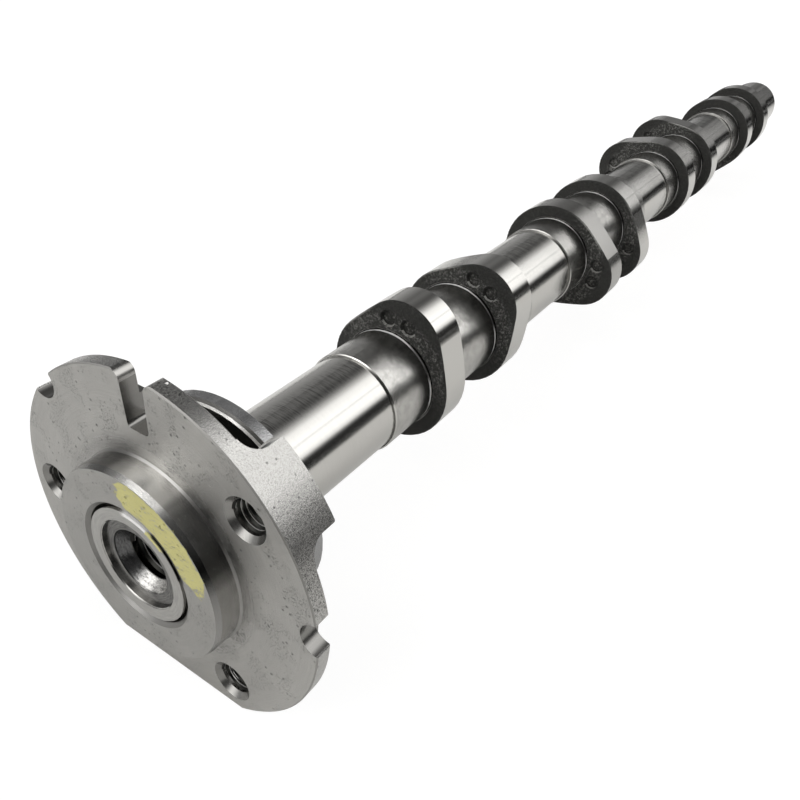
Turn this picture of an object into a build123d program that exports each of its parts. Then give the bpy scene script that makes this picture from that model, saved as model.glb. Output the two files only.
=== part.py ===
from build123d import *
import math
import os

# A camshaft for four cylinders with two lobes each, and the drive flange pressed on its nose.
# Sizes are millimetres and angles degrees.
# The shaft axis is X, and x = 0 is the flange's front face, where the drive wheel seats.
# Angles round the axis run from +Y towards +Z. The flange's flat faces down.

# Drive flange: hub and plate
hub_radius = 19.8
hub_length = 5.5
hub_edge_length = 1.1
hub_edge_depth = 0.4
hub_bore_chamfer = 0.7
plate_radius = 36.2
plate_thickness = 3.35
plate_edge_break = 0.25
flat_depth = 4.35
web_thickness = 4.8
web_flat_depth = 5.9

# Drive flange: threaded holes for the wheel's screws
screw_rim_distance = 6.7
screw_angles = (0, 140, 240)
screw_tap_radius = 3.4
screw_countersink = 1.0

# Drive flange: setting slot and the half-round notches in the rim
slot_angle = 90
slot_width = 5.85
slot_depth = 10.7
slot_wall_angle = 2.1
slot_corner_radius = 1.0
slot_mouth_radius = 1.8
notch_angles = (44.5, 178.7)
notch_radius = 3.6

# Drive flange: sensor tooth that stands back from the rim
tooth_angle = 140
tooth_width = 15.7
tooth_length = 6.65
tooth_wall = 3.8
tooth_foot_radius = 3.5
tooth_corner_radius = 0.4

# Nose of the shaft, which carries the flange
seat_radius = 12.3
seat_gap = 0.01
nose_setback = 0.25
lead_length = 1.9
lead_depth = 0.6
recess_radius = 9.1
recess_depth = 0.85
recess_edge_break = 0.2
centre_cone_radius = 6.75
centre_cone_angle = 60
nose_tap_radius = 5.3
nose_tap_depth = 30.0
drill_point_angle = 118

# Shoulder, thrust collar and front journal
shoulder_radius = 15.5
shoulder_length = 10.45
collar_radius = 22.2
collar_width = 3.35
collar_front_break = 0.85
collar_rear_break = 0.2
collar_notch_angle = 140
collar_notch_spread = 36.6
journal_radius = 11.85
front_journal_length = 37.4

# Shaft between the journals, and the later journals
shaft_radius = 12.4
journal_length = 26.0
end_journal_length = 23.4
end_chamfer = 0.8
step_edge_break = 0.2
end_centre_radius = 3.2
end_centre_pilot_radius = 1.25
end_centre_pilot_depth = 6.5

# Cam lobes
base_radius = 16.2
nose_radius = 10.85
nose_offset = 10.7
flank_radius = 90.0
lobe_width = 9.07
lobe_pitch = 31.03
cylinder_pitch = 90.0
first_lobe_distance = 51.8
first_lobe_angle = 108
pair_spread_angle = 18
cylinder_angles = (0, 90, 270, 180)
lobe_edge_break = 0.35
lobe_foot_leg = 0.3

# Casting pits in the front side of each lobe, left by the core's locating pins
pit_angles = (-20, 1)
pit_circle_radius = 15.7
pit_radius = 2.2
pit_depth = 0.7
pit_wall_angle = 40
pit_sides = 12

# How far a cutter runs past the solid, and how close two sizes count as the same
cut_overrun = 1.0
match_tolerance = 0.001

# Sizes of the flange that follow from its rim
flat_distance = plate_radius - flat_depth
screw_circle_radius = plate_radius - screw_rim_distance
slot_floor_distance = plate_radius - slot_depth
web_radius = plate_radius - tooth_wall
web_flat_distance = plate_radius - web_flat_depth

# Stations along the shaft that follow from the sizes
nose_face = nose_setback - hub_length
collar_front = web_thickness + shoulder_length
collar_rear = collar_front + collar_width
front_journal_end = collar_rear + front_journal_length
first_lobe_front = collar_rear + first_lobe_distance
pair_length = lobe_pitch + lobe_width
pair_fronts = [first_lobe_front + cylinder_pitch * index for index in range(len(cylinder_angles))]
journal_margin = (cylinder_pitch - pair_length - journal_length) / 2
end_journal_start = pair_fronts[-1] + pair_length + journal_margin
shaft_end = end_journal_start + end_journal_length


def around(radius, angle):
    # Y and Z of a point at this radius and angle round the shaft axis
    turn = math.radians(angle)
    return radius * math.cos(turn), radius * math.sin(turn)


def turned(outline):
    # Solid of revolution about the shaft axis from (station, radius) points, front to rear
    points = [(outline[0][0], 0), *outline, (outline[-1][0], 0)]
    kept = [point for index, point in enumerate(points) if index == 0 or point != points[index - 1]]
    return revolve(Plane.XZ * make_face(Polyline(*kept, close=True)), Axis.X)


def step(start, end, radius, front_break=0.0, rear_break=0.0):
    # One turned step of the outline, with its two edges broken at 45 degrees
    return [
        (start, radius - front_break),
        (start + front_break, radius),
        (end - rear_break, radius),
        (end, radius - rear_break),
    ]


def disc(start, end, radius):
    return extrude(Plane.YZ.offset(start) * Circle(radius), amount=end - start)


def sector(start, end, radius, angle, spread):
    # Wedge about the axis, centred on an angle, that reaches past the radius
    reach = radius / math.cos(math.radians(spread / 2)) + cut_overrun
    left = around(reach, angle - spread / 2)
    right = around(reach, angle + spread / 2)
    face = make_face(Polyline((0, 0), left, right, close=True))
    return extrude(Plane.YZ.offset(start) * face, amount=end - start)


def cam_face():
    # Base circle and nose circle joined by two flank arcs, each tangent to both; the nose is along +x
    base_reach = flank_radius - base_radius
    nose_reach = flank_radius - nose_radius
    cosine = (base_reach**2 + nose_offset**2 - nose_reach**2) / (2 * base_reach * nose_offset)
    sine = math.sqrt(1 - cosine**2)
    base_touch = Vector(-base_radius * cosine, base_radius * sine)
    flank_centre = Vector(base_reach * cosine, -base_reach * sine)
    nose_centre = Vector(nose_offset, 0)
    nose_touch = nose_centre + (nose_centre - flank_centre).normalized() * nose_radius
    flank_middle = flank_centre + ((base_touch + nose_touch) / 2 - flank_centre).normalized() * flank_radius
    flank = ThreePointArc(base_touch, flank_middle, nose_touch)
    nose = ThreePointArc(nose_touch, (nose_offset + nose_radius, 0), (nose_touch.X, -nose_touch.Y))
    base = ThreePointArc(base_touch, (-base_radius, 0), (base_touch.X, -base_touch.Y))
    return make_face([flank, mirror(flank, Plane.XZ), nose, base])


def lobe(front, angle):
    body = extrude(Plane.YZ.offset(front) * Rot(0, 0, angle) * cam_face(), amount=lobe_width)
    return chamfer(body.faces().filter_by(Axis.X).edges(), lobe_edge_break)


def casting_pits(front, angle):
    # Shallow pits with sloping walls, beside the nose of the lobe
    pits = Sketch()
    for pit_angle in pit_angles:
        pits += Pos(*around(pit_circle_radius, angle + pit_angle)) * RegularPolygon(pit_radius, pit_sides)
    return extrude(Plane.YZ.offset(front) * pits, amount=pit_depth, taper=pit_wall_angle)


def lobe_places():
    # Station of the front side and angle of the nose of every lobe, front to rear
    places = []
    for pair_front, cylinder_angle in zip(pair_fronts, cylinder_angles):
        angle = first_lobe_angle + cylinder_angle
        places.append((pair_front, angle))
        places.append((pair_front + lobe_pitch, angle + pair_spread_angle))
    return places


def shaft_outline():
    outline = [
        (nose_face, seat_radius - lead_depth),
        (nose_face + lead_length, seat_radius),
        (web_thickness, seat_radius),
    ]
    outline += step(web_thickness, collar_front, shoulder_radius)
    outline += step(collar_front, collar_rear, collar_radius, collar_front_break, collar_rear_break)
    outline += step(collar_rear, front_journal_end, journal_radius)
    section_start = front_journal_end
    for pair_front in pair_fronts:
        section_end = pair_front + pair_length + journal_margin
        outline += step(section_start, section_end, shaft_radius, step_edge_break, step_edge_break)
        section_start = section_end + journal_length
        if pair_front != pair_fronts[-1]:
            outline += step(section_end, section_start, journal_radius)
    outline += step(end_journal_start, shaft_end, journal_radius, 0.0, end_chamfer)
    return outline


def nose_hole():
    # Recess, 60 degree centre and tapped hole in the nose, ending in a drill point
    recess_floor = nose_face + recess_depth
    cone_length = (centre_cone_radius - nose_tap_radius) / math.tan(math.radians(centre_cone_angle / 2))
    hole_end = nose_face + nose_tap_depth
    point_length = nose_tap_radius / math.tan(math.radians(drill_point_angle / 2))
    return turned([
        (nose_face, recess_radius + recess_edge_break),
        (nose_face + recess_edge_break, recess_radius),
        (recess_floor, recess_radius),
        (recess_floor, centre_cone_radius),
        (recess_floor + cone_length, nose_tap_radius),
        (hole_end, nose_tap_radius),
        (hole_end + point_length, 0),
    ])


def end_centre():
    # Centre hole in the rear end, on which the shaft was ground
    cone_length = (end_centre_radius - end_centre_pilot_radius) / math.tan(math.radians(centre_cone_angle / 2))
    point_length = end_centre_pilot_radius / math.tan(math.radians(drill_point_angle / 2))
    pilot_end = shaft_end - end_centre_pilot_depth
    return turned([
        (pilot_end - point_length, 0),
        (pilot_end, end_centre_pilot_radius),
        (shaft_end - cone_length, end_centre_pilot_radius),
        (shaft_end, end_centre_radius),
    ])


def foot_edges(shaft, places):
    # Circles where the sides of the lobes meet the shaft, which get a small sloping foot
    fronts = [front for front, angle in places]
    stations = fronts + [front + lobe_width for front in fronts]
    circles = shaft.edges().filter_by(GeomType.CIRCLE)
    feet = [edge for edge in circles if abs(edge.radius - shaft_radius) < match_tolerance]
    return [
        edge for edge in feet
        if min(abs(edge.arc_center.X - station) for station in stations) < match_tolerance
    ]


def camshaft():
    shaft = turned(shaft_outline())
    places = lobe_places()
    for front, angle in places:
        shaft += lobe(front, angle)
    shaft = chamfer(foot_edges(shaft, places), lobe_foot_leg)
    for front, angle in places:
        shaft -= casting_pits(front, angle)
    notch = sector(collar_front, collar_rear, collar_radius, collar_notch_angle, collar_notch_spread)
    shaft -= notch - disc(collar_front, collar_rear, shoulder_radius)
    return shaft - nose_hole() - end_centre()


def flange_blank():
    # Turned hub and plate, thicker inside the rim, with the bore for the nose of the shaft
    bore_radius = seat_radius + seat_gap
    bore = turned([
        (-hub_length, bore_radius + hub_bore_chamfer),
        (hub_bore_chamfer - hub_length, bore_radius),
        (web_thickness, bore_radius),
    ])
    return turned([
        (-hub_length, hub_radius - hub_edge_depth),
        (hub_edge_length - hub_length, hub_radius),
        (0, hub_radius),
        *step(0, plate_thickness, plate_radius, plate_edge_break, plate_edge_break),
        (plate_thickness, web_radius),
        (web_thickness, web_radius),
    ]) - bore


def slot_outline():
    # Slot seen from the front, open upwards, with walls that spread a little towards the rim
    mouth = slot_width / 2 + cut_overrun * math.tan(math.radians(slot_wall_angle))
    floor = slot_width / 2 - slot_depth * math.tan(math.radians(slot_wall_angle))
    reach = plate_radius + cut_overrun
    return make_face(Polyline((-mouth, reach), (-floor, slot_floor_distance), (floor, slot_floor_distance),
                              (mouth, reach), close=True))


def rim_outline():
    # Front view of the plate: the round rim with the slot, the flat and the half-round notches
    outline = Circle(plate_radius) - slot_outline()
    corners = outline.vertices().filter_by_position(Axis.X, -slot_width, slot_width).sort_by(Axis.Y)
    outline = fillet(corners[-2:], slot_mouth_radius)
    corners = outline.vertices().filter_by_position(Axis.X, -slot_width / 2, slot_width / 2).sort_by(Axis.Y)
    outline = fillet(corners[:2], slot_corner_radius)
    outline = Rot(0, 0, slot_angle - 90) * outline
    outline -= Pos(0, -flat_distance - plate_radius / 2) * Rectangle(2 * plate_radius, plate_radius)
    for angle in notch_angles:
        outline -= Pos(*around(plate_radius, angle)) * Circle(notch_radius)
    return outline


def sensor_tooth():
    # Upright profile with hollow feet, stood round the rim and cut to the wall between two radii
    half_width = tooth_width / 2
    foot_width = half_width + tooth_foot_radius
    foot_top = plate_thickness + tooth_foot_radius
    top = plate_thickness + tooth_length
    edge_start = plate_thickness / 2
    profile = make_face([
        Polyline((-foot_width, plate_thickness), (-foot_width, edge_start), (foot_width, edge_start),
                 (foot_width, plate_thickness)),
        RadiusArc((foot_width, plate_thickness), (half_width, foot_top), tooth_foot_radius),
        Polyline((half_width, foot_top), (half_width, top), (-half_width, top), (-half_width, foot_top)),
        RadiusArc((-half_width, foot_top), (-foot_width, plate_thickness), tooth_foot_radius),
    ])
    profile = fillet(profile.vertices().sort_by(Axis.Y)[-2:], tooth_corner_radius)
    outward = (0, *around(1, tooth_angle))
    sideways = (0, *around(1, tooth_angle + 90))
    reach = plate_radius + cut_overrun
    prism = extrude(Plane((0, 0, 0), x_dir=sideways, z_dir=outward) * profile, amount=reach)
    return prism & (disc(0, top, plate_radius) - disc(0, top, web_radius))


def screw_hole(angle):
    # Tapped hole through plate and web, countersunk in front
    y, z = around(screw_circle_radius, angle)
    return Pos(0, y, z) * turned([
        (0, screw_tap_radius + screw_countersink),
        (screw_countersink, screw_tap_radius),
        (web_thickness, screw_tap_radius),
    ])


def drive_flange():
    flange = flange_blank() & extrude(Plane.YZ.offset(-hub_length) * rim_outline(), amount=hub_length + web_thickness)
    # The web has a flat below the slot's mouth
    web_cut = Pos(0, web_flat_distance + plate_radius / 2) * Rectangle(2 * plate_radius, plate_radius)
    turned_cut = Rot(0, 0, slot_angle - 90) * web_cut
    flange -= extrude(Plane.YZ.offset(plate_thickness) * turned_cut, amount=web_thickness)
    flange += sensor_tooth()
    for angle in screw_angles:
        flange -= screw_hole(angle)
    return flange


os.makedirs("parts", exist_ok=True)
export_step(camshaft(), "parts/camshaft.step")
export_step(drive_flange(), "parts/drive_flange.step")
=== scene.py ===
import math
from types import SimpleNamespace

import bmesh
import bpy
from mathutils import Matrix, Vector


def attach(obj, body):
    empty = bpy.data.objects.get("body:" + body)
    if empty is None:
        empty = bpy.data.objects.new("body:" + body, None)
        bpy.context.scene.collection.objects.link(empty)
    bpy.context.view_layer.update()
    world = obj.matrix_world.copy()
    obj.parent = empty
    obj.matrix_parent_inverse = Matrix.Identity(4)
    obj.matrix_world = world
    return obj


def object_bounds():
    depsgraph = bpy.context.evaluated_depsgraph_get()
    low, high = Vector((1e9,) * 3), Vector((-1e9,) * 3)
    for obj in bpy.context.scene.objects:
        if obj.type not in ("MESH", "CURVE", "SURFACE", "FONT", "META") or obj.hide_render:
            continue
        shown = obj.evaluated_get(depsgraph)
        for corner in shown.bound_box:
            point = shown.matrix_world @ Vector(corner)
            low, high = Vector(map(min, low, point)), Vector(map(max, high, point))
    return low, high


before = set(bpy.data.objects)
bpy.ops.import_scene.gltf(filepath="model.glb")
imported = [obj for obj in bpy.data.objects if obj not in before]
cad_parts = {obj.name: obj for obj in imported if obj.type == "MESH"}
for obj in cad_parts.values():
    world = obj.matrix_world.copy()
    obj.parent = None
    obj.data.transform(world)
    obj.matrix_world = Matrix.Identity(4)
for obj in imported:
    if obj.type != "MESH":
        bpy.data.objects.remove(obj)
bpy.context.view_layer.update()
print("frame loaded")

mm = 0.001                                  # metres


# Shader maths: one wrapper round a socket, and one method for every node

class Shade:
    def __init__(self, tree, socket=None):
        self.tree = tree
        self.socket = socket

    def node(self, kind, output=0, settings=None, inputs=None):
        made = self.tree.nodes.new(kind)
        for name, value in (settings or {}).items():
            if name == "stops":
                setStops(made.color_ramp, value)
            else:
                setattr(made, name, value)
        for name, value in (inputs or {}).items():
            if isinstance(value, Shade):
                self.tree.links.new(value.socket, made.inputs[name])
            else:
                made.inputs[name].default_value = value
        return Shade(self.tree, made.outputs[output] if len(made.outputs) else None)

    def math(self, operation, *values):
        return self.node("ShaderNodeMath", 0, {"operation": operation}, dict(enumerate(values)))

    def __add__(self, other):
        return self.math("ADD", self, other)

    def __radd__(self, other):
        return self.math("ADD", other, self)

    def __sub__(self, other):
        return self.math("SUBTRACT", self, other)

    def __rsub__(self, other):
        return self.math("SUBTRACT", other, self)

    def __mul__(self, other):
        return self.math("MULTIPLY", self, other)

    def __rmul__(self, other):
        return self.math("MULTIPLY", other, self)

    def __truediv__(self, other):
        return self.math("DIVIDE", self, other)

    def __rtruediv__(self, other):
        return self.math("DIVIDE", other, self)

    def __mod__(self, other):
        return self.math("FLOORED_MODULO", self, other)

    def __gt__(self, other):
        return self.math("GREATER_THAN", self, other)

    def __lt__(self, other):
        return self.math("LESS_THAN", self, other)

    def __or__(self, other):
        return self.math("MAXIMUM", self, other)

    def __abs__(self):
        return self.math("ABSOLUTE", self)


def setStops(ramp, stops):
    while len(ramp.elements) < len(stops):
        ramp.elements.new(0.5)
    for element, (place, colour) in zip(ramp.elements, stops):
        element.position = place
        element.color = (*colour, 1.0) if isinstance(colour, tuple) else (colour, colour, colour, 1.0)


def ramp(value, stops, curve="LINEAR"):     # value to colour, stops as (place, grey or colour)
    made = value.node("ShaderNodeValToRGB", 0, {"stops": stops}, {0: value})
    made.socket.node.color_ramp.interpolation = curve
    return made


def levels(value, low, high):               # 0 below low, 1 above high, smooth between
    return value.node("ShaderNodeMapRange", 0, {"interpolation_type": "SMOOTHSTEP"},
                      {0: value, 1: low, 2: high, 3: 0.0, 4: 1.0})


def between(value, low, high, soft=0.0):    # 1 inside a range, 0 outside
    if soft:
        return levels(value, low - soft, low + soft) * (1 - levels(value, high - soft, high + soft))
    return (value > low) * (value < high)


def blend(factor, first, second, mode="MIX"):
    return factor.node("ShaderNodeMix", 2, {"data_type": "RGBA", "blend_type": mode},
                       {0: factor, 6: first, 7: second})


def shaded(colour, amount):                 # colour times a grey amount
    return blend(amount, (0.0, 0.0, 0.0, 1.0), colour)


def axes(vector):                           # the three numbers of a vector
    parts = vector.node("ShaderNodeSeparateXYZ", 0, None, {0: vector}).socket.node
    return [Shade(vector.tree, output) for output in parts.outputs]


def stretched(point, scale):                # coordinates scaled along each axis
    return point.node("ShaderNodeVectorMath", 0, {"operation": "MULTIPLY"}, {0: point, 1: scale})


def noise(point, scale, detail=4.0, rough=0.5):
    return point.node("ShaderNodeTexNoise", 0, None,
                      {"Vector": point, "Scale": scale, "Detail": detail, "Roughness": rough})


def cells(point, scale):                    # distance from the nearest of many scattered points
    return point.node("ShaderNodeTexVoronoi", 0, None, {"Vector": point, "Scale": scale})


def turned(start, radius, turn, fineness):  # marks of a lathe tool, running round the shaft
    place = start.node("ShaderNodeCombineXYZ", 0, None, {0: radius * fineness, 1: turn * 0.05})
    return noise(place, 1.0, 4.0, 0.7)


def newMaterial(name):
    material = bpy.data.materials.new(name)
    material.use_nodes = True
    material.node_tree.nodes.clear()
    return material, Shade(material.node_tree)


def finishMaterial(material, start, inputs, height=None):
    if height is not None:                  # a height of 1 stands 0.1 mm proud
        inputs["Normal"] = start.node("ShaderNodeBump", 0, None, {"Distance": 0.1 * mm, "Height": height})
    surface = start.node("ShaderNodeBsdfPrincipled", 0, None, inputs)
    start.node("ShaderNodeOutputMaterial", 0, None, {0: surface})
    return material


# Camera, at the photo's place in front of the flange and above it

camera = {
    "place": (-60.73, -89.77, 102.15),      # mm
    "forward": (0.7011, 0.4730, -0.5336),
    "up": (0.4256, 0.3229, 0.8453),
    "lens": 35.387,                         # mm, on a sensor as wide as the next number
    "sensor": 36.0,
    "shiftX": 0.00868,
    "shiftY": -0.03743,
    "clip": (0.005, 20.0),                  # m
}


def makeCamera():
    data = bpy.data.cameras.new("photoCamera")
    data.sensor_width = camera["sensor"]
    data.lens = camera["lens"]
    data.shift_x = camera["shiftX"]
    data.shift_y = camera["shiftY"]
    data.clip_start, data.clip_end = camera["clip"]
    piece = bpy.data.objects.new("photoCamera", data)
    forward = Vector(camera["forward"]).normalized()
    right = forward.cross(Vector(camera["up"])).normalized()
    up = right.cross(forward)
    turn = Matrix((right, up, -forward)).transposed()
    piece.matrix_world = Matrix.Translation(Vector(camera["place"]) * mm) @ turn.to_4x4()
    bpy.context.scene.collection.objects.link(piece)
    bpy.context.scene.camera = piece


makeCamera()
print("camera made")

# Studio: white floor, and a room whose bright and dark strips run along the shaft

studio = {
    "floorSize": 3.0,                       # m
    "floorPlace": 0.2,                      # m along the shaft, below its middle
    "floorGap": 0.00002,
    "floorColour": (0.86, 0.855, 0.84, 1.0),
    "floorWhite": 0.78,                     # share of plain white that the camera sees in the floor
    "whiteLevel": 1.12,
    "darkLevel": 0.03,                      # far floor in reflections
    "floorAhead": (0.2, 0.42),              # m in front of the shaft where its reflections turn dark
    "floorBeyond": (0.5, 0.95),             # the same past its far end
    "brightest": 3.2,
    "strips": [                             # share of it by angle: 0 at +Y, 0.5 overhead, 1 at -Y
        (0.00, 0.15), (0.09, 0.122), (0.18, 0.088), (0.26, 0.053), (0.33, 0.066), (0.42, 0.034),
        (0.47, 0.056), (0.51, 0.138), (0.56, 0.312), (0.60, 0.5), (0.70, 0.606), (0.727, 0.625),
        (0.735, 0.388), (0.743, 0.413), (0.751, 0.613), (0.83, 0.587), (0.868, 0.45), (0.905, 0.062),
        (0.925, 0.011), (1.0, 0.009),
    ],
    "frontStrips": [                        # the same for what shines from ahead of the flange
        (0.00, 0.18), (0.14, 0.20), (0.20, 0.55), (0.34, 1.0), (0.47, 0.85), (0.55, 0.20), (0.66, 0.04),
        (0.95, 0.015), (1.0, 0.015),
    ],
    "front": (-0.12, -0.36),                # x of the directions between the two
    "farFade": (0.80, 1.0),                 # x of the directions where the bright side fades out
    "fadeTurn": (0.46, 0.56),               # angle, counted as in the strips, over which that sets in
}


def makeFloor():
    mesh = bpy.data.meshes.new("floor")
    shape = bmesh.new()
    bmesh.ops.create_grid(shape, x_segments=1, y_segments=1, size=studio["floorSize"])
    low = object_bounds()[0][2] - studio["floorGap"]
    bmesh.ops.translate(shape, verts=shape.verts, vec=(studio["floorPlace"], 0.0, low))
    shape.to_mesh(mesh)
    shape.free()
    piece = bpy.data.objects.new("floor", mesh)
    bpy.context.scene.collection.objects.link(piece)
    material, start = newMaterial("whitePaper")
    seen = start.node("ShaderNodeLightPath", "Is Camera Ray")
    mirrored = start.node("ShaderNodeLightPath", "Is Glossy Ray")
    x, y, z = axes(start.node("ShaderNodeTexCoord", "Object"))
    far = levels(0 - y, *studio["floorAhead"]) | levels(x, *studio["floorBeyond"])
    diffuse = start.node("ShaderNodeBsdfDiffuse", 0, None, {"Color": studio["floorColour"]})
    dark = start.node("ShaderNodeEmission", 0, None, {"Strength": studio["darkLevel"]})
    faded = start.node("ShaderNodeMixShader", 0, None, {0: mirrored * far, 1: diffuse, 2: dark})
    white = start.node("ShaderNodeEmission", 0, None, {"Strength": studio["whiteLevel"]})
    paper = start.node("ShaderNodeMixShader", 0, None,
                       {0: seen * studio["floorWhite"], 1: faded, 2: white})
    start.node("ShaderNodeOutputMaterial", 0, None, {0: paper})
    mesh.materials.append(material)


def makeWorld():
    world = bpy.data.worlds.new("studio")
    bpy.context.scene.world = world
    world.use_nodes = True
    world.node_tree.nodes.clear()
    start = Shade(world.node_tree)
    x, y, z = axes(start.node("ShaderNodeTexCoord", "Generated"))
    turn = start.math("ARCTAN2", z, y) / math.pi
    fade = levels(x, *studio["farFade"]) * levels(turn, *studio["fadeTurn"])
    behind = shaded(ramp(turn, studio["strips"]), 1 - fade)
    light = blend(levels(x, *studio["front"]), behind, ramp(turn, studio["frontStrips"]))
    room = start.node("ShaderNodeBackground", 0, None, {"Color": light, "Strength": studio["brightest"]})
    white = start.node("ShaderNodeBackground", 0, None, {"Color": (1.0, 1.0, 1.0, 1.0)})
    seen = start.node("ShaderNodeLightPath", "Is Camera Ray")
    both = start.node("ShaderNodeMixShader", 0, None, {0: seen, 1: room, 2: white})
    start.node("ShaderNodeOutputWorld", 0, None, {0: both})


makeFloor()
makeWorld()
print("studio made")

# Finishes, laid on by place: mm along the shaft and out from it, degrees round it from +Y over +Z.
# A range is from and to, with its softness as a third number where it has any.
# Tones are greys by the share of a full turn.

steel = (0.56, 0.55, 0.525, 1.0)
satinSteel = (0.46, 0.451, 0.43, 1.0)
turnedSteel = (0.64, 0.63, 0.605, 1.0)
# painted shade on the collar's sides, the shoulder and the hole of the nose
shadeSteel = (0.075, 0.075, 0.07, 1.0)
glintSteel = (0.8, 0.79, 0.77, 1.0)
nickSteel = (0.85, 0.84, 0.82, 1.0)
black = (0.016, 0.016, 0.014, 1.0)
castGrey = (0.052, 0.051, 0.047, 1.0)
castGrain = (0.27, 0.267, 0.25, 1.0)
# painted light on the lips of the pits that face up
castShine = (0.42, 0.415, 0.39, 1.0)


def spotOf(start):                          # where the shaded spot lies, and which way its face looks
    point = stretched(start.node("ShaderNodeTexCoord", "Object"), (1 / mm, 1 / mm, 1 / mm))
    x, y, z = axes(point)
    lengthways, sideways, upward = axes(start.node("ShaderNodeTexCoord", "Normal"))
    return SimpleNamespace(
        point=point,
        x=x,
        radius=start.math("SQRT", y * y + z * z),
        turn=start.math("ARCTAN2", z, y) * (180 / math.pi) % 360,
        endOn=abs(lengthways),              # 1 where the face looks along the shaft, 0 where outwards
        upward=upward,
    )


# Marking paint: a dab on the hub's front face, spilt over a gap on to the nose of the shaft

dab = {
    "turn": (86.0, 166.0),
    "radius": (13.3, 19.2),
    "front": -5.3,                          # it lies only in front of this
    "boreEdge": 13.4,
    "raggedScale": (1.0, 0.9, 0.9),
    "dragScale": (1.0, 0.22, 1.1),
    "ends": (22, 26),                       # degrees by which the two patterns fray its ends
    "frayed": (2.2, 1.8),                   # mm by which its inner and outer edge fray
    "taperInside": (0.75, 1.1, 2.4),        # share of its half length from which it tapers, to where, and mm
    "taperOutside": (0.8, 1.1, 1.6),
    "holeScale": (1.0, 0.7, 2.4),
    "holeLevel": 0.6,
    "colour": (0.54, 0.505, 0.2, 1.0),
    "spillTurn": (120.0, 141.0),
    "spillRadius": 11.05,
    "spillFront": -5.1,
    "spillFray": (12, 0.6),                 # degrees and mm
    "gapTurn": (120, 164, 2),               # where the gap between hub and nose is painted dark as shade
    "gapShaft": (11.42, -3.3),              # radius from which, and station up to which
    "gapHub": (12.9, 13.4),
    "gapDepth": 0.9,
}


def paintDab(spot):
    ragged = noise(stretched(spot.point, dab["raggedScale"]), 1.0, 7.0, 0.8) - 0.5
    drag = noise(stretched(spot.point, dab["dragScale"]), 1.0, 5.0, 0.75) - 0.5
    low, high = dab["turn"]
    raggedEnd, dragEnd = dab["ends"]
    span = between(spot.turn + ragged * raggedEnd + drag * dragEnd, low, high)
    taper = abs(spot.turn - (low + high) / 2) / ((high - low) / 2)
    insideFrom, insideTo, insideReach = dab["taperInside"]
    outsideFrom, outsideTo, outsideReach = dab["taperOutside"]
    inner = dab["radius"][0] + levels(taper, insideFrom, insideTo) * insideReach
    outer = dab["radius"][1] - levels(taper, outsideFrom, outsideTo) * outsideReach
    innerFray, outerFray = dab["frayed"]
    band = (spot.radius + ragged * innerFray + drag > inner) * (spot.radius + ragged * outerFray < outer)
    holes = noise(stretched(spot.point, dab["holeScale"]), 1.0, 5.0, 0.75)
    onFace = (spot.x < dab["front"]) * (spot.radius > dab["boreEdge"])
    return span * band * onFace * (holes < dab["holeLevel"])


def paintSpill(spot, grain):                # what ran over on to the nose
    turnFray, radiusFray = dab["spillFray"]
    spread = between(spot.turn + grain * turnFray, *dab["spillTurn"])
    return spread * (spot.radius + grain * radiusFray > dab["spillRadius"]) * (spot.x < dab["spillFront"])


# Camshaft: cast sides of the lobes, ground journals and rims, turned nose and collar

lobes = {
    "first": 70.4,                          # front side of the first lobe
    "width": 9.07,
    "pitch": 31.03,                         # from the first lobe of a pair to the second
    "pairLength": 40.1,
    "cylinderPitch": 90.0,
    "lastEnd": 380.6,
    "second": 20,                           # past this station of a pair it is the second lobe's turn
    "behind": 40,                           # past this one, that of the next pair
    "foot": 12.75,                          # radius at which the sides begin
    "margin": 0.3,
    "endMargin": 0.4,
    "sideFacing": 0.3,                      # a face that looks more along the shaft is a side
    "noseTurn": 108,                        # where the nose of the first lobe points
    "secondTurn": 18,                       # how much further round the second one of a pair points
    "cylinderTurns": [(155, 90), (245, 180), (335, -90)],       # stations from which the noses turn further
    "pocket": (95, 50),                     # degrees off the nose where the rough pocket begins and is full
    "pocketRadius": (12.9, 17.2, 1.0),
    "pocketGrain": (0.9, 0.1),              # share of pale grains in the pocket, and elsewhere
    "grainLevels": (0.3, 0.8),
    "fleckLevels": (0.47, 0.66),
    "pitFacing": 0.85,
    "pitReach": 0.42,
    "pitLevels": (0.36, 0.5),
    "pitGrain": (0.7, 0.3),                 # how plainly the pits show, everywhere and more in grains
    "litLevels": (0.2, 0.6),
    "unmetallic": 0.55,                     # how much less metallic the casting is
    "dullAndShaded": (160.0, 170.0),                 # the lobe whose rim is rougher, and painted darker as shade
    "dullTurn": (60, 215, 10),
    "dullShadeDepth": 0.3,
}

journals = {
    "from": 18.7,
    "firstEnd": 56.0,
    "margin": 0.3,
    "radius": 12.1,                         # journals lie inside it, the sections with the lobes outside it
    "facing": 0.5,
    "step": (11.87, 12.05),                 # small chamfer from one to the other
    "stepFacing": 0.4,
    # painted light and shade on the step, by share of a turn
    "stepTones": [(0.31, 0.22), (0.36, 0.08)],
    "section": 12.42,
    "footFacing": (0.4, 0.95),
    "footDepth": 0.9,
    "footHighlight": (0.38, 0.82, 0.08),         # painted highlight: a bright line ahead of each lobe
    "footHighlightTones": [(0.22, 0.8), (0.32, 0.75), (0.36, 0.2), (0.435, 0.05), (0.47, 0.8), (0.52, 0.85),
                      (0.56, 0.25)],
    "shade": (7.5, 1.0),                    # mm ahead of a lobe where its shade begins and is full
    "shadeTurn": (104, 122),
    "shadeLeast": 0.2,
    "shadeCloud": 1.2,
    "shadeLevels": (0.1, 0.95),
    "shadeDepth": 0.5,
    "shadedScoreTurn": (84, 108, 6),
    "scoredLevels": (0.47, 0.6),
    "scoredDepth": (0.03, 0.42),            # everywhere, and more at the turns above, where the scores carry painted shade
    "blotchLevels": (0.4, 0.62),
    "blotchDepth": (0.14, 0.13),            # of the sections everywhere, and more in blotches
}

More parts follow.
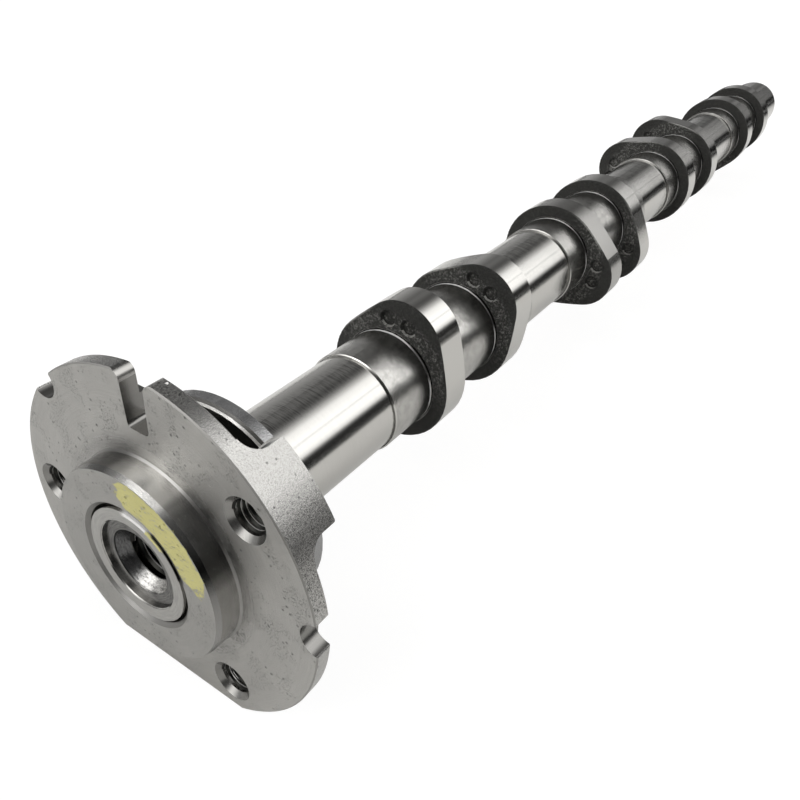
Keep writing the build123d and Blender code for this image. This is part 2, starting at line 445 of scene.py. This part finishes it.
nose = {
    "front": -4.6,
    "annulus": 9.2,                         # radius at which its end face begins
    "annulusDepth": (0.22, 0.2),
    "edgeFront": -4.7,
    "edge": (9.1, 9.32),                    # broken edge of the recess
    "edgeFacing": (0.3, 0.9),
    "edgeDepth": 0.35,
    "glintTurn": (84, 117, 5),
    "glintRadius": (10.9, 12.0, 0.1),
    "glintEnd": -4.0,
    "recess": (-5.0, -3.0),
    "recessRadius": (6.6, 9.3),
    "recessLight": (255, 350, 12),          # turns where its painted shade is lighter
    "recessShadeAndRings": (0.62, 0.2, 0.3),        # darkening of the recess: painted shade everywhere and less at the turns above, and more in its turned rings
    "cone": (-4.5, -1.8),
    "coneRadius": (5.2, 6.8),
    # painted light and shade round the cone, by share of a turn
    "coneTones": [(0.0, 0.13), (0.28, 0.12), (0.5, 0.3), (0.68, (0.8, 0.785, 0.75)), (0.86, 0.13)],
    "coneMix": (0.4, 0.6),                  # grain and rings in its marks
    "coneMarks": (0.38, 0.54),
    "coneLeast": 0.35,
    "unmetallic": 0.9,                      # how much less metallic the glint is, and the lobes' painted foot highlight
    "hole": (-2.0, 5.6),                    # station and radius
}

collar = {
    "place": (15.2, 18.7),
    "radius": 15.6,
    "chamferEnd": 15.62,
    # the chamfer pale at its front, and painted dark as shade behind the plate
    "chamferPale": (0.6, 0.59, 0.57, 1.0),
    "chamferDark": (0.12, 0.118, 0.112, 1.0),
    "rimFacing": 0.3,
    "sideFacing": 0.85,
    # painted light and shade round the rim, by share of a turn
    "rimTones": [(0.2, 0.19), (0.217, 0.32), (0.233, 0.41), (0.25, 0.6), (0.283, 0.8), (0.3, 0.42),
                 (0.317, 0.38), (0.335, 0.52), (0.4, 0.4)],
    "rimGrain": (0.7, 0.6, 0.25),
    "shoulder": (4.8, 15.2),
    "shoulderRadius": (15.0, 15.7),
}

shaftPatterns = {                           # scale, detail and roughness of noise
    "grain": (2.6, 6.0, 0.7),
    "fleck": (1.5, 7.0, 0.78),
    "cloud": (0.16, 3.0, 0.6),
    "blotch": (0.4, 4.0, 0.6),
    "lines": (7.0, 0.12, 0.12),             # stretch of the marks that run round the shaft
    "hatch": (4.2, 0.2, 0.2),
    "rings": 5.0,                           # rings to the mm on faces across it
    "ringLevels": (0.35, 0.65),
    "coneRings": 4.0,
}

shaftPolish = {                             # roughness everywhere, and what each part adds to it
    "everywhere": 0.085,
    "lines": 0.05,
    "section": 0.09,
    "sectionCloud": 0.08,
    "collar": 0.16,
    "turned": 0.15,
    "casting": 0.42,
    "step": 0.2,
    "dullAndShaded": 0.1,
    "paint": 0.4,
}

shaftRelief = {                             # heights of the marks, in tenths of a millimetre
    "lines": (0.12, 0.1),                   # on the journals, and on the rims of the lobes
    "hatch": (0.12, 0.25),                  # on the journals, and on the sections with the lobes
    "casting": 8.0,
    "collar": 0.6,
    "section": 0.9,
    "cone": 0.9,
}


def lobeSpots(spot):                        # which faces belong to lobes, and how far the spot is from them
    margin = lobes["margin"]
    along = (spot.x - lobes["first"] + margin) % lobes["cylinderPitch"] - margin
    onFirst = along < lobes["width"] + margin
    onSecond = between(along, lobes["pitch"] - margin, lobes["pairLength"] + margin)
    onShaft = between(spot.x, lobes["first"] - lobes["endMargin"], lobes["lastEnd"] + lobes["endMargin"])
    inLobe = (onFirst | onSecond) * onShaft * (spot.radius > lobes["foot"])
    second = along > lobes["second"]
    toNextPair = (along > lobes["behind"]) * (lobes["cylinderPitch"] - along)
    toSecond = (along < lobes["behind"]) * (lobes["pitch"] - along)
    noseTurn = lobes["noseTurn"] + lobes["secondTurn"] * second
    for station, turn in lobes["cylinderTurns"]:
        noseTurn = noseTurn + turn * (spot.x > station)
    return SimpleNamespace(
        side=inLobe * (spot.endOn > lobes["sideFacing"]),
        rim=inLobe * (spot.endOn < lobes["sideFacing"]),
        behindFront=along - lobes["pitch"] * second,
        ahead=toNextPair | toSecond,        # mm to the next lobe
        offNose=abs((spot.turn - noseTurn + 180) % 360 - 180),
    )


def castSides(spot, lobe, grain, fleck):    # dark casting, with a rougher pocket and pits beside the nose, the pit walls painted dark as shade and their lips that face up painted light
    pocket = levels(lobe.offNose, *lobes["pocket"]) * between(spot.radius, *lobes["pocketRadius"])
    inPocket, elsewhere = lobes["pocketGrain"]
    plain = blend(levels(grain, *lobes["grainLevels"]), black, castGrey)
    grains = levels(fleck, *lobes["fleckLevels"]) * (pocket * inPocket + elsewhere)
    colour = blend(grains, plain, castGrain)
    # pit walls painted dark as shade, their lips that face up painted light
    lip = (lobe.behindFront < lobes["pitReach"]) * levels(fleck, *lobes["pitLevels"])
    pitColour = blend(levels(spot.upward, *lobes["litLevels"]) * lip, black, castShine)
    pitWall = pocket * (spot.endOn < lobes["pitFacing"])
    everywhere, inGrain = lobes["pitGrain"]
    return blend(pitWall * (everywhere + inGrain * grain), colour, pitColour)


def journalParts(spot, lobe):
    beyondCollar = spot.x > journals["from"]
    beyondFirst = spot.x > journals["firstEnd"]
    edge, section, foot = journals["radius"], journals["section"], lobes["foot"]
    ahead = lobe.ahead
    least = journals["shadeLeast"]
    shadeTurn = least + (1 - least) * levels(spot.turn, *journals["shadeTurn"])
    onSection = between(spot.radius, edge, foot) * (spot.x > journals["firstEnd"] + journals["margin"])
    return SimpleNamespace(
        ground=(spot.radius < edge) * (spot.endOn < journals["facing"]) * beyondCollar,
        section=onSection,
        step=between(spot.radius, *journals["step"]) * (spot.endOn > journals["stepFacing"]),
        foot=between(spot.radius, section, foot) * between(spot.endOn, *journals["footFacing"]),
        footHighlight=between(ahead, *journals["footHighlight"]) * between(spot.radius, edge, section) * beyondFirst,
        shade=levels(ahead, *journals["shade"]) * (ahead > 0) * onSection * shadeTurn,
    )


def wornSteelWithPaintedLight(spot, part, cloud, hatch):    # ground steel with painted lobe shade, scores and blotches, a painted highlight on the foot line and painted light and shade on the step
    unevenShade = part.shade + (cloud - 0.5) * part.shade * journals["shadeCloud"]
    colour = shaded(steel, 1 - journals["shadeDepth"] * levels(unevenShade, *journals["shadeLevels"]))
    anywhere, most = journals["scoredDepth"]
    # scores everywhere, painted darker as shade at the top of the journals
    scoreAndShadeHere = anywhere + most * between(spot.turn, *journals["shadedScoreTurn"]) * (spot.x < lobes["lastEnd"])
    scoredAndShaded = levels(hatch, *journals["scoredLevels"]) * scoreAndShadeHere
    blotch = levels(noise(spot.point, *shaftPatterns["blotch"]), *journals["blotchLevels"])
    everywhere, inBlotch = journals["blotchDepth"]
    dirtAndShade = part.section * (everywhere + inBlotch * blotch) + scoredAndShaded * part.ground
    colour = shaded(colour, 1 - dirtAndShade - journals["footDepth"] * part.foot)
    # painted highlight ahead of each lobe, its tone set by turn
    colour = blend(part.footHighlight, colour, ramp(spot.turn / 360, journals["footHighlightTones"], "EASE"))
    # the step painted lighter towards the top and darker further round
    return blend(part.step, colour, ramp(spot.turn / 360, journals["stepTones"]))


def turnedNose(spot, colour, glint, spill, rings):
    everywhere, inRings = nose["annulusDepth"]
    onEnd = (spot.x < nose["front"]) * (spot.radius > nose["annulus"])
    colour = shaded(colour, 1 - (everywhere + inRings * rings) * onEnd)
    edge = between(spot.radius, *nose["edge"]) * between(spot.endOn, *nose["edgeFacing"])
    edge = edge * (spot.x < nose["edgeFront"])
    colour = shaded(colour, 1 - nose["edgeDepth"] * edge)
    colour = blend(glint, colour, glintSteel)
    colour = blend(spill, colour, dab["colour"])
    # painted shade in the gap between the nose and the hub
    gapRadius, gapEnd = dab["gapShaft"]
    gap = between(spot.turn, *dab["gapTurn"]) * (spot.radius > gapRadius) * (spot.x < gapEnd)
    return shaded(colour, 1 - gap * dab["gapDepth"])


def shaftFinish():
    material, start = newMaterial("castShaft")
    spot = spotOf(start)
    lobe = lobeSpots(spot)
    part = journalParts(spot, lobe)
    grain = noise(spot.point, *shaftPatterns["grain"])
    fleck = noise(spot.point, *shaftPatterns["fleck"])
    cloud = noise(spot.point, *shaftPatterns["cloud"])
    lines = noise(stretched(spot.point, shaftPatterns["lines"]), 1.0, 4.0, 0.7)
    hatch = noise(stretched(spot.point, shaftPatterns["hatch"]), 1.0, 5.0, 0.75)
    rings = turned(start, spot.radius, spot.turn, shaftPatterns["rings"])
    rings = levels(rings, *shaftPatterns["ringLevels"])

    # Colour: the ground parts, the nose and the sides of the lobes
    glint = between(spot.turn, *nose["glintTurn"]) * between(spot.radius, *nose["glintRadius"])
    glint = glint * (spot.x < nose["glintEnd"])
    spill = paintSpill(spot, grain)
    wornAndLit = wornSteelWithPaintedLight(spot, part, cloud, hatch)
    wornAndLit = turnedNose(spot, wornAndLit, glint, spill, rings)
    cone = between(spot.x, *nose["cone"]) * between(spot.radius, *nose["coneRadius"])
    coneRings = turned(start, spot.radius, spot.turn, shaftPatterns["coneRings"])
    grainShare, ringShare = nose["coneMix"]
    marks = grain * grainShare + coneRings * ringShare
    coneShade = nose["coneLeast"] + (1 - nose["coneLeast"]) * levels(marks, *nose["coneMarks"])
    # the cone painted with light and shade by turn, broken by its marks
    wornAndLit = blend(cone, wornAndLit, shaded(ramp(spot.turn / 360, nose["coneTones"]), coneShade))
    base = blend(lobe.side, wornAndLit, castSides(spot, lobe, grain, fleck))
    # one lobe's rim rougher, and painted darker as shade at some turns
    dullAndShaded = lobe.rim * between(spot.x, *lobes["dullAndShaded"]) * between(spot.turn, *lobes["dullTurn"])
    base = shaded(base, 1 - dullAndShaded * lobes["dullShadeDepth"])

    # Then the collar with the shoulder before it, the collar's sides, the shoulder and the hole painted dark
    # as shade, and the recess of the nose painted darker as shade
    inCollar = between(spot.x, *collar["place"]) * (spot.radius > collar["radius"])
    shoulder = between(spot.x, *collar["shoulder"]) * between(spot.radius, *collar["shoulderRadius"])
    holeFrom, holeRadius = nose["hole"]
    hole = (spot.x > holeFrom) * (spot.radius < holeRadius)
    base = blend((inCollar * (spot.endOn > collar["sideFacing"])) | shoulder | hole, base, shadeSteel)
    recess = between(spot.x, *nose["recess"]) * between(spot.radius, *nose["recessRadius"])
    # the recess painted darker as shade, less at some turns, and more in the rings
    everywhere, lighter, inRings = nose["recessShadeAndRings"]
    recessShadeAndRings = everywhere - lighter * between(spot.turn, *nose["recessLight"]) + inRings * rings
    base = shaded(base, 1 - recess * recessShadeAndRings)
    rimLeast, rimSpread, rimMiddle = collar["rimGrain"]
    # painted light and shade round the collar's rim, with grain
    rimColour = ramp(spot.turn / 360, collar["rimTones"], "EASE")
    rimColour = shaded(rimColour, rimLeast + rimSpread * (grain - rimMiddle))
    base = blend(inCollar * (spot.endOn < collar["rimFacing"]), base, rimColour)
    # the collar's chamfer pale in front and painted dark as shade behind
    chamferColour = blend(spot.x > collar["chamferEnd"], collar["chamferPale"], collar["chamferDark"])
    chamfer = inCollar * between(spot.endOn, collar["rimFacing"], collar["sideFacing"])
    base = blend(chamfer, base, chamferColour)

    # Polish: smallest on the journals and rims, largest on the casting
    rough = shaftPolish["everywhere"] + lines * shaftPolish["lines"] * (1 - inCollar)
    rough = rough + part.section * (shaftPolish["section"] + cloud * shaftPolish["sectionCloud"])
    rough = rough + inCollar * shaftPolish["collar"] + (recess | cone) * shaftPolish["turned"]
    rough = rough + (lobe.side | shoulder) * shaftPolish["casting"] + part.step * shaftPolish["step"]
    rough = rough + dullAndShaded * shaftPolish["dullAndShaded"] + spill * shaftPolish["paint"]

    # Relief: fine marks round the ground parts, grain on the casting
    linesGround, linesRim = shaftRelief["lines"]
    hatchGround, hatchSection = shaftRelief["hatch"]
    height = lines * (part.ground * linesGround + lobe.rim * linesRim)
    height = height + hatch * (part.ground * hatchGround + part.section * hatchSection)
    height = height + fleck * lobe.side * shaftRelief["casting"] + grain * inCollar * shaftRelief["collar"]
    height = height + cloud * part.section * shaftRelief["section"] + marks * cone * shaftRelief["cone"]
    unmetallic = lobe.side * lobes["unmetallic"] + (glint | part.footHighlight) * nose["unmetallic"] + spill
    return finishMaterial(material, start, {
        "Base Color": base,
        "Metallic": 1 - unmetallic,
        "Roughness": rough,
    }, height)


# Drive flange: satin face, turned hub and rim, painted shade round the hub, pits and a nick

plate = {
    "faceFacing": 0.9,                      # a face that looks more along the shaft is flat
    "front": 1.2,
    "rim": 35.9,
    "edge": 35.5,
    "sideFacing": 0.5,
    "edgeDepth": 0.25,
    "mouth": (74, 106),                     # turns of the slot's mouth, whose walls are left without the painted shade
    "mouthRadius": 34.0,
    "cut": (21.0, 35.8),                    # walls of the slot and holes, painted darker as shade
    "cutDepth": 0.4,
    "ringTone": (0.74, 0.28),               # grey of the face, and how much its rings add
    "stainLevels": (0.45, 0.7),
    "stainDepth": 0.06,
    "pitSize": (0.2, 0.06),
    "pitFray": 0.35,
    "pitLevels": (0.47, 0.55),
    "pitDepth": 0.55,
    "patchLevels": (0.47, 0.6),
    "mottleLevels": (0.5, 0.68),
    "mottleDepth": 0.4,
    "nick": (2.6, -5.62, 35.86),
    "nickSize": (0.3, 0.8),
    # painted light and shade round the rim, by share of a turn
    "rimTones": [(0.186, 0.85), (0.197, 0.55), (0.214, 0.66), (0.222, 0.78), (0.231, 0.52), (0.272, 1.0),
                 (0.289, 0.87), (0.297, 0.6), (0.311, 0.55), (0.325, 0.83), (0.339, 0.95), (0.36, 0.78),
                 (0.38, 0.83), (0.394, 0.74), (0.408, 0.6), (0.422, 0.5), (0.436, 0.79), (0.48, 0.9)],
    "coarseLevels": (0.44, 0.64),
    "coarseLeast": 0.05,
    "coarseMost": 0.5,
    "coarseEnd": (113, 104),                # turns where the coarse speckle of the rim fades in
    "coarseSpot": (143, 172, 5),
    "coarseAgain": (143, 151),
    "grainLevels": (0.64, 0.72),
    # grain of the rim, and the depth of a plain painted shade at some turns
    "grainDepth": (0.3, 0.15),
    "speckleLevels": (0.5, 0.62),
    "speckleDepth": 0.13,
}

hub = {
    "side": (19.3, 20.1),
    "sideEnd": 0.1,
    "sideFacing": 0.6,
    "edgeFacing": 0.15,                     # the chamfer of its edge looks more along the shaft than this
    # painted light and shade round the chamfer of its edge, by share of a turn
    "edgeTones": [(0.325, 1.0), (0.344, 0.47), (0.367, 0.3), (0.39, 0.18), (0.411, 0.2), (0.44, 0.45),
                  (0.53, 0.52), (0.6, 0.65)],
    "hubHighlight": (95, 108, 4),                 # turns where its side has a painted highlight
    "brightColour": (0.84, 0.83, 0.8, 1.0),
    "front": -4.0,
    "frontDepth": 0.12,
    "foot": (19.7, 20.4),
    "footPlace": (-0.6, 0.3),
    "footFacing": (0.5, 0.9),
    # its foot darkened everywhere, and more with the painted shade
    "footDepth": (0.25, 0.5),
    "beside": (19.8, 22.4, 1.7),            # ring of the plate round it, with the hub's painted shade
    "besideFront": -1.0,
    "besideDepth": 0.55,
    # painted shade round the hub's side, its foot and the plate beside it, by share of a turn
    "hubShade": [(0.1, 0.5), (0.13, 0.42), (0.15, 0.5), (0.168, 0.64), (0.19, 0.76), (0.215, 0.74), (0.235, 0.3),
             (0.25, 0.0), (0.318, 0.0), (0.333, 0.6), (0.35, 0.8), (0.42, 0.83), (0.435, 0.8), (0.45, 0.62),
             (0.467, 0.37), (0.49, 0.3), (0.6, 0.3)],
    # flecks that break up the painted shade
    "shadeFlecks": (0.6, 0.7, 0.7),
    "bore": (12.2, 13.2),
    "boreFacing": (0.4, 0.9),
    # painted shade on the chamfer of the bore, by share of a turn
    "boreTones": [(0.27, 0.45), (0.31, 0.93), (0.44, 0.93), (0.48, 0.45)],
}

flangePatterns = {                          # scale, detail and roughness of noise
    "grain": (2.4, 5.0, 0.75),
    "fine": (4.0, 5.0, 0.7),
    "cloud": (0.13, 3.0, 0.55),
    "patch": (0.2, 2.0, 0.5),
    "mottle": (2.3, 4.0, 0.7),
    "rings": 2.6,                           # rings to the mm
    "pits": 0.62,                           # places for pits to the mm
}

flangePolish = {                            # roughness everywhere, and what each part adds to it
    "everywhere": 0.24,
    "fine": 0.08,
    "cloud": 0.06,
    "hubSide": -0.12,
    "rim": -0.06,
    "edge": 0.25,
    "besideHub": -0.1,
    "bore": 0.1,
    "hubHighlight": 0.06,
    "paint": 0.3,
}

flangeRelief = {                            # heights of the marks, in tenths of a millimetre
    "rings": 0.8,
    "grain": 0.7,
    "fine": (1.1, 0.5, 0.3),                # on the faces, the rim and the hub's side
    "pits": 3.0,
    "mottle": 1.5,
    "paint": 0.6,
}


def flangeParts(spot):
    face = spot.endOn > plate["faceFacing"]
    onHub = between(spot.radius, *hub["side"]) * (spot.x < hub["sideEnd"])
    onFoot = between(spot.radius, *hub["foot"]) * between(spot.x, *hub["footPlace"])
    mouth = between(spot.turn, *plate["mouth"]) * (spot.radius > plate["mouthRadius"])
    wall = between(spot.radius, *plate["cut"]) * (spot.endOn < plate["faceFacing"])
    edgeWay = between(spot.endOn, plate["sideFacing"], plate["faceFacing"])
    inBore = between(spot.radius, *dab["gapHub"]) * (spot.x < dab["front"])
    return SimpleNamespace(
        face=face,
        front=face * (spot.x < plate["front"]),
        hubFront=face * (spot.x < hub["front"]),
        hubSide=onHub * (spot.endOn < hub["sideFacing"]),
        hubFoot=onFoot * between(spot.endOn, *hub["footFacing"]),
        besideHub=face * between(spot.radius, *hub["beside"]) * (spot.x > hub["besideFront"]),
        bore=between(spot.radius, *hub["bore"]) * between(spot.endOn, *hub["boreFacing"]),
        gap=inBore * between(spot.turn, *dab["gapTurn"]),
        rim=(spot.radius > plate["rim"]) * (spot.endOn < plate["sideFacing"]),
        edge=(spot.radius > plate["edge"]) * edgeWay,
        cut=wall * (1 - mouth),
    )


# speckle of the rim, stronger at some turns, and a plain painted shade at those turns
def rimSpeckleAndShade(spot, grain, fine):
    fadeIn = levels(spot.turn, *plate["coarseEnd"])
    coarseHere = fadeIn + between(spot.turn, *plate["coarseSpot"])
    coarse = levels(fine, *plate["coarseLevels"]) * (plate["coarseLeast"] + plate["coarseMost"] * coarseHere)
    inGrain, plainShade = plate["grainDepth"]
    coarse = coarse + inGrain * levels(grain, *plate["grainLevels"])
    # plain painted shade of the rim before coarseEnd and past coarseAgain
    coarse = coarse + plainShade * (levels(spot.turn, *plate["coarseAgain"]) + fadeIn)
    return coarse + plate["speckleDepth"] * levels(fine, *plate["speckleLevels"])


def flangeFinish():
    material, start = newMaterial("steelFlange")
    spot = spotOf(start)
    part = flangeParts(spot)
    share = spot.turn / 360
    grain = noise(spot.point, *flangePatterns["grain"])
    fine = noise(spot.point, *flangePatterns["fine"])
    cloud = noise(spot.point, *flangePatterns["cloud"])
    rings = turned(start, spot.radius, spot.turn, flangePatterns["rings"])
    pitPlaces = cells(spot.point, flangePatterns["pits"]) + (fine - 0.5) * plate["pitFray"]
    pits = levels(pitPlaces, *plate["pitSize"]) * levels(cloud, *plate["pitLevels"])
    patch = levels(noise(spot.point, *flangePatterns["patch"]), *plate["patchLevels"])
    mottle = levels(noise(spot.point, *flangePatterns["mottle"]), *plate["mottleLevels"])
    mottle = mottle * patch * part.front
    # painted shade round the hub, by share of a turn, broken by flecks
    fleckFrom, fleckTo, fleckShare = hub["shadeFlecks"]
    hubShade = ramp(share, hub["hubShade"], "EASE") * (1 - fleckShare * levels(fine, fleckFrom, fleckTo))
    nickRadius, nickFray = plate["nickSize"]
    fromNick = start.node("ShaderNodeVectorMath", 1, {"operation": "DISTANCE"},
                          {0: spot.point, 1: plate["nick"]})
    nick = (fromNick + (fine - 0.5) * nickFray < nickRadius) * part.rim
    hubHighlight = part.hubSide * between(spot.turn, *hub["hubHighlight"])
    paint = paintDab(spot)

    # Colour
    faceTone, ringTone = plate["ringTone"]
    stain = levels(cloud, *plate["stainLevels"])
    base = shaded(satinSteel, faceTone + rings * ringTone + stain * plate["stainDepth"])
    base = blend(part.rim | part.hubSide, base, turnedSteel)
    # painted highlight on the hub's side
    base = blend(hubHighlight, base, hub["brightColour"])
    # the hub's foot darkened, more with the painted shade
    footTone, footShade = hub["footDepth"]
    dark = part.edge * plate["edgeDepth"] + part.hubFoot * (footTone + hubShade * footShade)
    base = shaded(base, 1 - dark - part.hubFront * hub["frontDepth"])
    dark = pits * (part.front | part.rim) * plate["pitDepth"] + part.rim * rimSpeckleAndShade(spot, grain, fine)
    # painted shade on the walls of the slot and holes, and on the hub's side
    dark = dark + part.cut * plate["cutDepth"] + part.hubSide * hubShade
    # painted shade on the plate beside the hub
    dark = dark + part.besideHub * hubShade * hub["besideDepth"]
    base = shaded(base, 1 - dark)
    # painted light and shade round the hub's chamfer
    hubEdge = part.hubSide * (spot.endOn > hub["edgeFacing"]) * (1 - ramp(share, hub["edgeTones"], "EASE"))
    # painted shade in the bore and in the gap to the nose
    boreShade = part.bore * ramp(share, hub["boreTones"]) | part.gap * dab["gapDepth"]
    base = shaded(base, 1 - hubEdge - boreShade - mottle * plate["mottleDepth"])
    # painted light and shade round the rim
    base = shaded(base, 1 - part.rim * (1 - ramp(share, plate["rimTones"], "EASE")))
    base = blend(paint, base, dab["colour"])
    base = blend(nick, base, nickSteel)

    # Polish: smoothest on the turned hub and rim
    rough = flangePolish["everywhere"] + fine * flangePolish["fine"] + cloud * flangePolish["cloud"]
    rough = rough + part.hubSide * flangePolish["hubSide"] + (part.rim + part.cut) * flangePolish["rim"]
    rough = rough + part.edge * flangePolish["edge"] + part.besideHub * flangePolish["besideHub"]
    rough = rough + part.bore * flangePolish["bore"] + hubHighlight * flangePolish["hubHighlight"]
    rough = rough + paint * flangePolish["paint"]

    # Relief: turned rings on the faces, pits, and the thickness of the paint
    fineFace, fineRim, fineHub = flangeRelief["fine"]
    height = rings * part.face * flangeRelief["rings"] + grain * part.rim * flangeRelief["grain"]
    height = height + fine * (part.face * fineFace + part.rim * fineRim + part.hubSide * fineHub)
    height = height - pits * part.front * flangeRelief["pits"]
    height = height - mottle * (1 - paint) * flangeRelief["mottle"] + paint * flangeRelief["paint"]
    return finishMaterial(material, start, {
        "Base Color": base,
        "Metallic": 1 - (paint | nick),
        "Roughness": rough,
    }, height)


# Threads and the foot of the hub, which the solids leave out

screwThread = {
    "wall": 3.4,                            # radius of the hole
    "crest": 3.06,
    "pitch": 1.08,
    "start": 1.25,
    "end": 4.6,
    "turns": (0, 140, 240),                 # the three holes of the flange
    "circle": 29.5,
    "embed": 0.03,                          # how far the ridge's root runs into the wall
    "steps": 40,                            # to each turn
}

noseThread = {
    "wall": 5.3,
    "crest": 4.85,
    "pitch": 1.5,
    "start": -1.4,
    "end": 14.0,
    "embed": 0.03,
    "steps": 56,
}

threadShape = {
    "root": 0.46,                           # half the root of the ridge, as a share of the pitch
    "flat": 0.07,                           # and half its crest
    "crestFacing": (0.25, 0.5),
    # flanks painted dark as shade, crests painted light as highlights
    "flankColour": (0.02, 0.02, 0.018, 1.0),
    "crestColour": (0.75, 0.74, 0.72, 1.0),
    "crestMetal": 0.5,                      # how much less metallic the crests are
    "rough": 0.3,
}

hubFoot = {
    "radius": 19.8,
    "leg": 0.38,
    "embed": 0.04,
    "steps": 160,
}

sharpAngle = 35                             # degrees from which an edge is shaded sharp
mergeReach = 0.001


def threadFinish(name):                     # dark flanks and bright crests, painted shade and painted highlights
    material, start = newMaterial(name)
    crest = 1 - levels(spotOf(start).endOn, *threadShape["crestFacing"])
    return finishMaterial(material, start, {
        "Base Color": blend(crest, threadShape["flankColour"], threadShape["crestColour"]),
        "Metallic": 1 - crest * threadShape["crestMetal"],
        "Roughness": threadShape["rough"],
    })


def addPiece(name, shape, material):
    bmesh.ops.remove_doubles(shape, verts=shape.verts, dist=mergeReach * mm)
    bmesh.ops.recalc_face_normals(shape, faces=shape.faces)
    mesh = bpy.data.meshes.new(name)
    shape.to_mesh(mesh)
    shape.free()
    mesh.materials.append(material)
    piece = bpy.data.objects.new(name, mesh)
    bpy.context.scene.collection.objects.link(piece)
    for polygon in mesh.polygons:
        polygon.use_smooth = True
    mesh.set_sharp_from_angle(angle=math.radians(sharpAngle))
    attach(piece, "root")


def outline(shape, points):                 # closed outline of (x, y) points in mm, in the plane z = 0
    corners = [shape.verts.new((x * mm, y * mm, 0.0)) for x, y in points]
    return corners + [shape.edges.new((corners[k - 1], corners[k])) for k in range(len(corners))]


def makeThread(sizes):                      # a ridge that winds along the wall of a hole about the x axis
    shape = bmesh.new()
    wall = sizes["wall"] + sizes["embed"]
    root = sizes["pitch"] * threadShape["root"]
    flat = sizes["pitch"] * threadShape["flat"]
    start = sizes["start"]
    length = sizes["end"] - start
    section = outline(shape, [
        (start - root, wall),
        (start - flat, sizes["crest"]),
        (start + flat, sizes["crest"]),
        (start + root, wall),
    ])
    turns = length / sizes["pitch"]
    steps = round(turns * sizes["steps"])
    bmesh.ops.spin(shape, geom=section, cent=(0, 0, 0), axis=(1, 0, 0), angle=2 * math.pi * turns,
                   steps=steps, dvec=(length / steps * mm, 0, 0))
    return shape


def makeHubFoot():                          # the small slope between the hub's side and the flange's face
    shape = bmesh.new()
    radius, leg, embed = hubFoot["radius"], hubFoot["leg"], hubFoot["embed"]
    section = outline(shape, [
        (-leg, radius),
        (embed, radius + leg),
        (embed, radius - embed),
        (-leg, radius - embed),
    ])
    bmesh.ops.spin(shape, geom=section, cent=(0, 0, 0), axis=(1, 0, 0), angle=2 * math.pi,
                   steps=hubFoot["steps"], use_merge=True)
    return shape


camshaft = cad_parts["camshaft"]
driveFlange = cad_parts["drive_flange"]
castShaft = shaftFinish()
steelFlange = flangeFinish()
threadSteel = threadFinish("threadSteel")
camshaft.material_slots[0].material = castShaft
driveFlange.material_slots[0].material = steelFlange
print("finishes made")

for degrees in screwThread["turns"]:
    shape = makeThread(screwThread)
    turn = math.radians(degrees)
    place = Vector((0, math.cos(turn), math.sin(turn))) * screwThread["circle"] * mm
    bmesh.ops.translate(shape, verts=shape.verts, vec=place)
    addPiece(f"screwThread{degrees}", shape, threadSteel)
addPiece("noseThread", makeThread(noseThread), threadSteel)
addPiece("hubFoot", makeHubFoot(), steelFlange)
print("threads made")

bpy.context.scene.view_settings.view_transform = "Standard"
